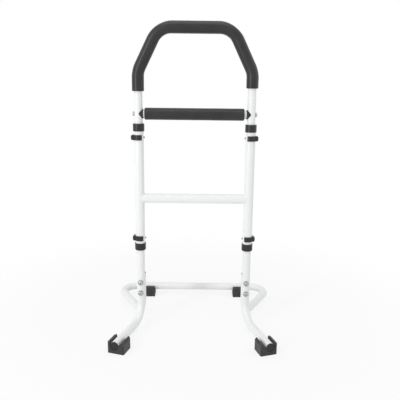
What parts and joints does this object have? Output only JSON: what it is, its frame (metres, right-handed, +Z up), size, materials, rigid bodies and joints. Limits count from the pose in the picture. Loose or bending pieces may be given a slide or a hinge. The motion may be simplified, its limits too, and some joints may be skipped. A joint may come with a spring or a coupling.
{
  "type": "toilet safety frame",
  "caption": "Free-standing toilet safety frame: foam-covered hoop and grip bar on telescoping posts locked by clip pins, with splayed legs, a rear loop and rubber feet.",
  "frame": {"origin": "on the floor under the middle of the frame's outer box", "axes": "+Z up, -Y to the front where the splayed legs point, +X to the right seen from the front"},
  "size_m": [0.5306, 0.4652, 0.942],
  "materials": {
    "white_tube": "gloss white powder coat",
    "foam_sleeve": "soft charcoal foam with a slight sheen",
    "black_plastic": "moulded black plastic",
    "foot_rubber": "moulded black rubber",
    "chrome_bolt": "bright plated steel",
    "zinc_steel": "zinc-plated steel"
  },
  "bodies": {
    "base": {"rear_loop": "white_tube", "leg_tube_left": "white_tube", "leg_bolts_left": "chrome_bolt", "leg_washers_left": "chrome_bolt", "leg_nuts_left": "zinc_steel", "front_foot_left": "foot_rubber", "rear_foot_left": "foot_rubber", "leg_plug_left": "black_plastic", "stub_cap_left": "black_plastic", "leg_tube_right": "white_tube", "leg_bolts_right": "chrome_bolt", "leg_washers_right": "chrome_bolt", "leg_nuts_right": "zinc_steel", "front_foot_right": "foot_rubber", "rear_foot_right": "foot_rubber", "leg_plug_right": "black_plastic", "stub_cap_right": "black_plastic"},
    "middle_frame": {"middle_crossbar": "white_tube", "post_tube_left": "white_tube", "upper_collar_left": "black_plastic", "lower_collar_left": "black_plastic", "post_tube_right": "white_tube", "upper_collar_right": "black_plastic", "lower_collar_right": "black_plastic"},
    "hoop": {"hoop_tube": "white_tube", "grip_tube": "white_tube", "grip_saddle_left": "black_plastic", "grip_nut_left": "zinc_steel", "grip_bolt_left": "chrome_bolt", "grip_saddle_right": "black_plastic", "grip_nut_right": "zinc_steel", "grip_bolt_right": "chrome_bolt", "hoop_foam": "foam_sleeve", "grip_foam": "foam_sleeve"},
    "upper_lock_left": {"upper_clip_left": "black_plastic", "upper_pin_left": "zinc_steel"},
    "upper_lock_right": {"upper_clip_right": "black_plastic", "upper_pin_right": "zinc_steel"},
    "lower_lock_left": {"lower_clip_left": "black_plastic", "lower_pin_left": "zinc_steel"},
    "lower_lock_right": {"lower_clip_right": "black_plastic", "lower_pin_right": "zinc_steel"}
  },
  "joints": [
    {"name": "frame_height", "type": "slide", "parent": "base", "child": "middle_frame", "axis": [0, 0, 1], "range_m": [-0.06, 0.06]},
    {"name": "hoop_height", "type": "slide", "parent": "middle_frame", "child": "hoop", "axis": [0, 0, 1], "range_m": [0, 0.12]},
    {"name": "upper_lock_left_pull", "type": "slide", "parent": "middle_frame", "child": "upper_lock_left", "axis": [-1, 0, 0], "range_m": [0, 0.04], "deforming": ["upper_clip_left"]},
    {"name": "upper_lock_right_pull", "type": "slide", "parent": "middle_frame", "child": "upper_lock_right", "axis": [1, 0, 0], "range_m": [0, 0.04], "deforming": ["upper_clip_right"]},
    {"name": "lower_lock_left_pull", "type": "slide", "parent": "middle_frame", "child": "lower_lock_left", "axis": [-1, 0, 0], "range_m": [0, 0.04], "deforming": ["lower_clip_left"]},
    {"name": "lower_lock_right_pull", "type": "slide", "parent": "middle_frame", "child": "lower_lock_right", "axis": [1, 0, 0], "range_m": [0, 0.04], "deforming": ["lower_clip_right"]}
  ]
}
